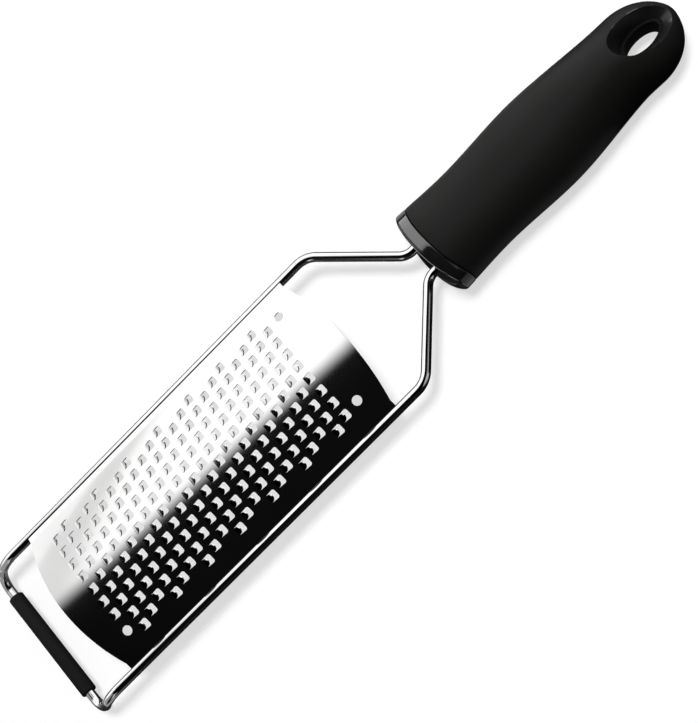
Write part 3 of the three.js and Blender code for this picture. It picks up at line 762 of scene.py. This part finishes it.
# The first bead is copied to the place of each tack
def weld_beads():
    nodes = sorted(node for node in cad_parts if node.startswith("weld"))
    first = weld_bead(nodes[0])
    first_low, first_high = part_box(nodes[0])
    for node in nodes:
        low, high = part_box(node)
        bead = copied(first)
        bead.name = bead.data.name = node.replace("weld", "bead")
        bead.data.transform(Matrix.Translation((low + high - first_low - first_high) / 2))
        yield node, bead
    bpy.data.objects.remove(first)


# Materials: clouds of slightly different colour and polish, and a fine grain
NOISE_LOW, NOISE_HIGH = 0.3, 0.7
STEEL_CLOUDS, MOULDING_CLOUDS = 60.0, 45.0
STEEL_GRAIN, MOULDING_GRAIN = 0.02 * MM, 0.04 * MM


def material(name):
    made = bpy.data.materials.new(name)
    made.use_nodes = True
    return made, made.node_tree.nodes, made.node_tree.links, made.node_tree.nodes["Principled BSDF"]


def noise(nodes, links, scale, stretch=(1, 1, 1), detail=4.0):
    coords = nodes.new("ShaderNodeTexCoord")
    mapping = nodes.new("ShaderNodeMapping")
    mapping.inputs["Scale"].default_value = stretch
    texture = nodes.new("ShaderNodeTexNoise")
    texture.inputs["Scale"].default_value = scale
    texture.inputs["Detail"].default_value = detail
    links.new(coords.outputs["Object"], mapping.inputs["Vector"])
    links.new(mapping.outputs["Vector"], texture.inputs["Vector"])
    return texture.outputs["Fac"]


def ramp(nodes, links, source, low, high):
    spread = nodes.new("ShaderNodeMapRange")
    spread.inputs["From Min"].default_value = NOISE_LOW
    spread.inputs["From Max"].default_value = NOISE_HIGH
    spread.inputs["To Min"].default_value = low
    spread.inputs["To Max"].default_value = high
    links.new(source, spread.inputs["Value"])
    return spread.outputs["Result"]


def tint(nodes, links, source, low, high):
    colours = nodes.new("ShaderNodeValToRGB")
    colours.color_ramp.elements[0].position = NOISE_LOW
    colours.color_ramp.elements[1].position = NOISE_HIGH
    colours.color_ramp.elements[0].color = (*low, 1)
    colours.color_ramp.elements[1].color = (*high, 1)
    links.new(source, colours.inputs["Fac"])
    return colours.outputs["Color"]


def bump(nodes, links, source, strength, distance):
    raised = nodes.new("ShaderNodeBump")
    raised.inputs["Strength"].default_value = strength
    raised.inputs["Distance"].default_value = distance
    links.new(source, raised.inputs["Height"])
    return raised.outputs["Normal"]


def steel(name, colours, roughness, grain_scale, stretch=(1, 1, 1), lift=0.0):
    made, nodes, links, shader = material(name)
    grain = noise(nodes, links, grain_scale, stretch)
    cloud = noise(nodes, links, STEEL_CLOUDS)
    shader.inputs["Metallic"].default_value = 1.0
    links.new(tint(nodes, links, cloud, *colours), shader.inputs["Base Color"])
    links.new(ramp(nodes, links, grain, *roughness), shader.inputs["Roughness"])
    if lift:
        links.new(bump(nodes, links, grain, lift, STEEL_GRAIN), shader.inputs["Normal"])
    return made


def black_moulding(name, colours, roughness, specular, grain_scale=0.0, lift=0.0):
    made, nodes, links, shader = material(name)
    cloud = noise(nodes, links, MOULDING_CLOUDS)
    shader.inputs["Specular IOR Level"].default_value = specular
    links.new(tint(nodes, links, cloud, *colours), shader.inputs["Base Color"])
    links.new(ramp(nodes, links, cloud, *roughness), shader.inputs["Roughness"])
    if lift:
        grain = noise(nodes, links, grain_scale, detail=6.0)
        links.new(bump(nodes, links, grain, lift, MOULDING_GRAIN), shader.inputs["Normal"])
    return made


blade_steel = steel(
    "blade_steel", colours=((0.81, 0.81, 0.805), (0.85, 0.85, 0.845)), roughness=(0.084, 0.092),
    grain_scale=900.0, stretch=(1.0, 0.06, 1.0),
)
wire_steel = steel(
    "wire_steel", colours=((0.80, 0.80, 0.81), (0.85, 0.85, 0.86)), roughness=(0.07, 0.09),
    grain_scale=700.0,
)
weld_steel = steel(
    "weld_steel", colours=((0.42, 0.40, 0.38), (0.66, 0.65, 0.63)), roughness=(0.32, 0.5),
    grain_scale=1500.0, lift=0.4,
)
foot_rubber = black_moulding(
    "foot_rubber", colours=((0.004, 0.004, 0.004), (0.006, 0.006, 0.006)), roughness=(0.55, 0.68),
    specular=0.2, grain_scale=2600.0, lift=0.2,
)
grip_rubber = black_moulding(
    "grip_rubber", colours=((0.0036, 0.0034, 0.0032), (0.0046, 0.0044, 0.0042)), roughness=(0.52, 0.6),
    specular=0.09, grain_scale=3200.0, lift=0.16,
)
core_plastic = black_moulding(
    "core_plastic", colours=((0.003, 0.003, 0.003), (0.0045, 0.0045, 0.0045)), roughness=(0.42, 0.5),
    specular=0.12, grain_scale=2000.0, lift=0.08,
)
hole_gloss = black_moulding(
    "hole_gloss", colours=((0.004, 0.004, 0.004), (0.005, 0.005, 0.005)), roughness=(0.3, 0.36),
    specular=0.5,
)
collar_gloss = black_moulding(
    "collar_gloss", colours=((0.004, 0.004, 0.004), (0.005, 0.005, 0.005)), roughness=(0.05, 0.08),
    specular=0.5,
)


# Pieces: each takes its finish and stands for its solid
def fit(piece, finish, slot, *nodes):
    piece.data.materials.clear()
    piece.data.materials.append(finish)
    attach(piece, "root")
    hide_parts(*nodes)


# Some faces of a piece take a second finish
def refinish(piece, finish, test):
    piece.data.materials.append(finish)
    for face in piece.data.polygons:
        if test(face):
            face.material_index = 1


def in_hole(face):
    offs = [from_hole(grip.data.vertices[i].co) for i in face.vertices]
    return all(oval_reach(off, RIM_WIDTH, RIM_LENGTH) < 1.01 for off in offs)


def faces_inwards(face):
    inwards = COLLAR_MIDDLE - face.center
    inwards.y = 0
    return face.normal.dot(inwards.normalized()) > 0.5


blade = arched_blade()
fit(blade, blade_steel, "blade_steel", "grating_blade")
# The rails mirror the light past the blade's edge, and not the edge
blade.visible_glossy = False
wire = bent_wire()
fit(wire, wire_steel, "wire_steel", "wire_frame")
fit(rubber_sleeve(), foot_rubber, "foot_rubber", "foot_sleeve")
grip = soft_grip()
fit(grip, grip_rubber, "soft_grip", "soft_grip")
refinish(grip, hole_gloss, in_hole)
collar = front_collar()
fit(collar, collar_gloss, "collar_gloss", "front_collar")
refinish(collar, core_plastic, faces_inwards)
fit(handle_core(), core_plastic, "core_plastic", "handle_core")
for node, bead in weld_beads():
    fit(bead, weld_steel, "weld_steel", node)


# Stage, in metres: a pale floor, and cards that only reflections see
OVERHEAD = 0.7
CARD_LEFT, CARD_RIGHT, CARD_END = -1.3, 1.6, 1.6
WALL_FOOT = -0.1
FLOOR_HALF = 3
FLOOR_GREY = 0.45
FLOOR_NEAR, FLOOR_FAR = 0.35, 1.1
FLOOR_GLOW_NEAR, FLOOR_GLOW_FAR = 0.6, 1.0
ACROSS = Vector((0.922, -0.435, 0.0))
SIDEWAYS = Vector((1, 0, 0))
TO_HANDLE = Vector((0, 1, 0))
UPWARDS = Vector((0, 0, 1))


def plain_card(name, corners):
    card = begin(bpy.ops.mesh.primitive_plane_add, name, size=1)
    for vertex, corner in zip(card.data.vertices, (corners[0], corners[1], corners[3], corners[2])):
        vertex.co = corner
    return card


def level_card(name, height, near=-CARD_END, far=CARD_END, left=CARD_LEFT, right=CARD_RIGHT):
    outline = ((left, near), (right, near), (right, far), (left, far))
    return plain_card(name, [Vector((x, y, height)) for x, y in outline])


def upright_card(name, start, end, low):
    return plain_card(name, [
        Vector((*start, low)), Vector((*end, low)), Vector((*end, OVERHEAD)), Vector((*start, OVERHEAD)),
    ])


def bare_material(name):
    made, nodes, links, shader = material(name)
    nodes.remove(shader)
    return made, nodes, links, nodes["Material Output"].inputs["Surface"]


# The floor keeps shadows, looks white to the camera, whiter further out, and shows from above only
def floor_paint():
    made, nodes, links, surface = bare_material("floor_paint")
    coords = nodes.new("ShaderNodeTexCoord")
    distance = nodes.new("ShaderNodeVectorMath")
    distance.operation = "LENGTH"
    paler = nodes.new("ShaderNodeMapRange")
    paler.inputs["From Min"].default_value = FLOOR_NEAR
    paler.inputs["From Max"].default_value = FLOOR_FAR
    paler.inputs["To Min"].default_value = FLOOR_GLOW_NEAR
    paler.inputs["To Max"].default_value = FLOOR_GLOW_FAR
    light_path = nodes.new("ShaderNodeLightPath")
    seen = nodes.new("ShaderNodeMath")
    seen.operation = "MULTIPLY"
    glow = nodes.new("ShaderNodeEmission")
    matt = nodes.new("ShaderNodeBsdfDiffuse")
    matt.inputs["Color"].default_value = (FLOOR_GREY, FLOOR_GREY, FLOOR_GREY, 1)
    both = nodes.new("ShaderNodeAddShader")
    geometry = nodes.new("ShaderNodeNewGeometry")
    clear = nodes.new("ShaderNodeBsdfTransparent")
    top_only = nodes.new("ShaderNodeMixShader")
    links.new(coords.outputs["Object"], distance.inputs[0])
    links.new(distance.outputs["Value"], paler.inputs["Value"])
    links.new(light_path.outputs["Is Camera Ray"], seen.inputs[0])
    links.new(paler.outputs["Result"], seen.inputs[1])
    links.new(seen.outputs["Value"], glow.inputs["Strength"])
    links.new(matt.outputs["BSDF"], both.inputs[0])
    links.new(glow.outputs["Emission"], both.inputs[1])
    links.new(geometry.outputs["Backfacing"], top_only.inputs["Fac"])
    links.new(both.outputs["Shader"], top_only.inputs[1])
    links.new(clear.outputs["BSDF"], top_only.inputs[2])
    links.new(top_only.outputs["Shader"], surface)
    return made


# A card's glow fades along a direction: each stop holds a place along it and the strength there
def fade(nodes, links, direction, stops):
    first, last = stops[0][0], stops[-1][0]
    coords = nodes.new("ShaderNodeTexCoord")
    along = nodes.new("ShaderNodeVectorMath")
    along.operation = "DOT_PRODUCT"
    along.inputs[1].default_value = direction
    reach = nodes.new("ShaderNodeMapRange")
    reach.inputs["From Min"].default_value = first
    reach.inputs["From Max"].default_value = last
    shades = nodes.new("ShaderNodeValToRGB")
    shades.color_ramp.interpolation = "EASE"
    while len(shades.color_ramp.elements) < len(stops):
        shades.color_ramp.elements.new(0.5)
    brightest = max(strength for _, strength in stops)
    for element, (spot, strength) in zip(shades.color_ramp.elements, stops):
        element.position = (spot - first) / (last - first)
        share = strength / brightest
        element.color = (share, share, share, 1)
    links.new(coords.outputs["Object"], along.inputs[0])
    links.new(along.outputs["Value"], reach.inputs["Value"])
    links.new(reach.outputs["Result"], shades.inputs["Fac"])
    return shades.outputs["Color"], brightest


# A second fade, given as its direction and stops, multiplies the first
def fading(card, direction, *stops, second=()):
    made, nodes, links, surface = bare_material(card.name)
    glow = nodes.new("ShaderNodeEmission")
    colour, brightest = fade(nodes, links, direction, stops)
    if second:
        shade, share = fade(nodes, links, *second)
        product = nodes.new("ShaderNodeVectorMath")
        product.operation = "MULTIPLY"
        links.new(colour, product.inputs[0])
        links.new(shade, product.inputs[1])
        colour = product.outputs["Vector"]
        brightest *= share
    glow.inputs["Strength"].default_value = brightest
    links.new(colour, glow.inputs["Color"])
    links.new(glow.outputs["Emission"], surface)
    card.data.materials.append(made)
    card.visible_camera = False
    card.visible_diffuse = False
    card.visible_shadow = False
    card.visible_transmission = False


floor = level_card("floor", 0, -FLOOR_HALF, FLOOR_HALF, -FLOOR_HALF, FLOOR_HALF)
floor.data.materials.append(floor_paint())

# The blade mirrors the overhead card, which goes from bright to dark along ACROSS
fading(
    level_card("overhead", OVERHEAD), ACROSS, (-0.164, 1.35), (-0.03, 0.004),
    second=(TO_HANDLE, ((-0.42, 0.62), (-0.36, 0.9), (-0.25, 1.0))),
)
# The teeth mirror the cards past the foot end, and the further one glows again for views from behind
fading(level_card("teeth_card", OVERHEAD - 0.01, far=-0.5), ACROSS, (-0.035, 1.1), (0.025, 0.0))
fading(
    level_card("far_card", OVERHEAD - 0.015, far=-0.75),
    ACROSS, (-0.035, 1.1), (0.025, 0.0), (0.7, 0.0), (1.2, 0.5),
)
# The wire mirrors the cards past the handle end, and the further one glows again for views from the front
fading(level_card("wire_card", OVERHEAD - 0.01, near=-0.045), SIDEWAYS, (-0.24, 1.35), (-0.21, 0.0))
fading(
    level_card("back_card", OVERHEAD - 0.015, near=0.3),
    SIDEWAYS, (-0.24, 1.35), (-0.21, 0.0), (0.05, 0.0), (0.9, 0.6),
)
# The table and the walls, as the undersides, the wire and the teeth mirror them
fading(
    level_card("table_card", 0.0003), SIDEWAYS, (0.0, 0.35), (0.03, 0.035),
    second=(TO_HANDLE, ((-0.4, 1.0), (-0.17, 0.7), (-0.14, 0.12))),
)
fading(
    upright_card("right_wall", (1.2, -CARD_END), (1.2, CARD_END), WALL_FOOT),
    TO_HANDLE, (0.3, 0.01), (1.1, 0.5),
)
fading(
    upright_card("handle_wall", (CARD_LEFT, 1.4), (CARD_RIGHT, 1.4), WALL_FOOT),
    SIDEWAYS, (-0.5, 1.2), (-0.1, 0.0),
)
fading(
    upright_card("foot_wall", (CARD_LEFT, -1.0), (1.3, -1.0), WALL_FOOT),
    SIDEWAYS, (-0.39, 1.1), (-0.33, 0.0), (0.55, 0.0), (1.1, 0.7),
    second=(UPWARDS, ((0.12, 0.6), (0.32, 1.0))),
)
fading(
    upright_card("softbox", (CARD_LEFT, -CARD_END), (CARD_LEFT, CARD_END), 0.0),
    TO_HANDLE, (0.0, 1.3), (0.04, 1.3),
)

# Key light: soft, from nearly overhead, aimed at the part
KEY_PLACE = Vector((-0.03, 0.1, 1.0))
KEY_POWER = 7.4
KEY_SIZE = 0.22
key = bpy.data.lights.new("key", "AREA")
key.energy = KEY_POWER
key.size = KEY_SIZE
key_light = bpy.data.objects.new("key", key)
bpy.context.scene.collection.objects.link(key_light)
key_light.location = KEY_PLACE
key_light.rotation_euler = (-KEY_PLACE).to_track_quat("-Z", "Y").to_euler()
key_light.visible_glossy = False


# Lamps for single pieces: the handle's black gloss, the wire's foot bends, the undersides of the teeth
def linked(name, *pieces):
    group = bpy.data.collections.new(name)
    for piece in pieces:
        group.objects.link(piece)
    return group


# A lamp between two corners, whose glow doesn't depend on its size
def lamp_for(group, name, low, high, facing, glow):
    low, high = Vector(low), Vector(high)
    lamp = bpy.data.lights.new(name, "AREA")
    lamp.shape = "RECTANGLE"
    turn = Vector(facing).to_track_quat("-Z", "Y")
    size = turn.inverted() @ (high - low)
    lamp.size = abs(size.x)
    lamp.size_y = abs(size.y)
    lamp.energy = glow * math.pi * lamp.size * lamp.size_y
    holder = bpy.data.objects.new(name, lamp)
    bpy.context.scene.collection.objects.link(holder)
    holder.location = (low + high) / 2
    holder.rotation_euler = turn.to_euler()
    holder.visible_camera = False
    holder.light_linking.receiver_collection = group


OVER_LAMP = OVERHEAD - 0.02
gloss = linked("gloss", collar, grip)
teeth = linked("teeth", blade)
bends = linked("bends", wire)
lamp_for(gloss, "handle_over", (-1.3, 0.028, OVER_LAMP), (-0.19, 1.6, OVER_LAMP), (0, 0, -1), 3.2)
lamp_for(gloss, "handle_side", (-1.29, 0.02, 0.0), (-1.29, 1.6, OVERHEAD), (1, 0, 0), 3.2)
lamp_for(gloss, "front_rim", (-0.08, -0.06, 0.001), (0.05, 0.02, 0.001), (0, 0, 1), 2.2)
lamp_for(gloss, "collar_left", (-0.12, 0.035, 0.001), (-0.02, 0.12, 0.001), (0, 0, 1), 0.8)
lamp_for(gloss, "collar_right", (0.02, 0.033, 0.001), (0.08, 0.12, 0.001), (0, 0, 1), 0.35)
lamp_for(bends, "foot_glow", (-0.075, -0.25, 0.0), (0.06, -0.25, 0.14), (0, 1, 0), 0.32)
lamp_for(bends, "table_glow", (0.05, -0.3, 0.001), (0.12, -0.16, 0.001), (0, 0, 1), 0.3)
lamp_for(teeth, "under_teeth", (-0.09, -0.12, 0.001), (-0.012, 0.07, 0.001), (0, 0, 1), 1.2)

# World: white where it is seen or mirrored, and dim where it lights
SKY_LIGHT, SKY_WHITE = 0.25, 1.0
world = bpy.data.worlds.new("studio")
bpy.context.scene.world = world
world.use_nodes = True
world_nodes = world.node_tree.nodes
world_links = world.node_tree.links
sky = world_nodes["Background"]
sky.inputs["Color"].default_value = (1, 1, 1, 1)
rays = world_nodes.new("ShaderNodeLightPath")
seen = world_nodes.new("ShaderNodeMath")
seen.operation = "MAXIMUM"
shown = world_nodes.new("ShaderNodeMath")
shown.operation = "MAXIMUM"
level = world_nodes.new("ShaderNodeMapRange")
level.inputs["To Min"].default_value = SKY_LIGHT
level.inputs["To Max"].default_value = SKY_WHITE
world_links.new(rays.outputs["Is Camera Ray"], seen.inputs[0])
world_links.new(rays.outputs["Is Glossy Ray"], seen.inputs[1])
world_links.new(seen.outputs["Value"], shown.inputs[0])
world_links.new(rays.outputs["Is Transmission Ray"], shown.inputs[1])
world_links.new(shown.outputs["Value"], level.inputs["Value"])
world_links.new(level.outputs["Result"], sky.inputs["Strength"])

# Camera: where the photograph was taken from, and which way is forward and right there
IMAGE_HEIGHT = 723
FOCAL_PIXELS = 1400.0
CAMERA_PLACE = place(160.93, 111.314, 464.974)
forward = Vector((-0.31238, -0.09493, -0.9452)).normalized()
right = Vector((0.65223, 0.70198, -0.28605))
right = (right - forward * right.dot(forward)).normalized()
up = right.cross(forward)
camera_data = bpy.data.cameras.new("camera")
camera = bpy.data.objects.new("camera", camera_data)
bpy.context.scene.collection.objects.link(camera)
bpy.context.scene.camera = camera
camera_data.sensor_width = 36.0
camera_data.lens = camera_data.sensor_width * FOCAL_PIXELS / IMAGE_HEIGHT
camera_data.clip_start = 0.01
camera_data.clip_end = 20.0
turned = Matrix((right, up, -forward)).transposed()
camera.matrix_world = Matrix.Translation(CAMERA_PLACE) @ turned.to_4x4()

bpy.context.scene.view_settings.view_transform = "Standard"
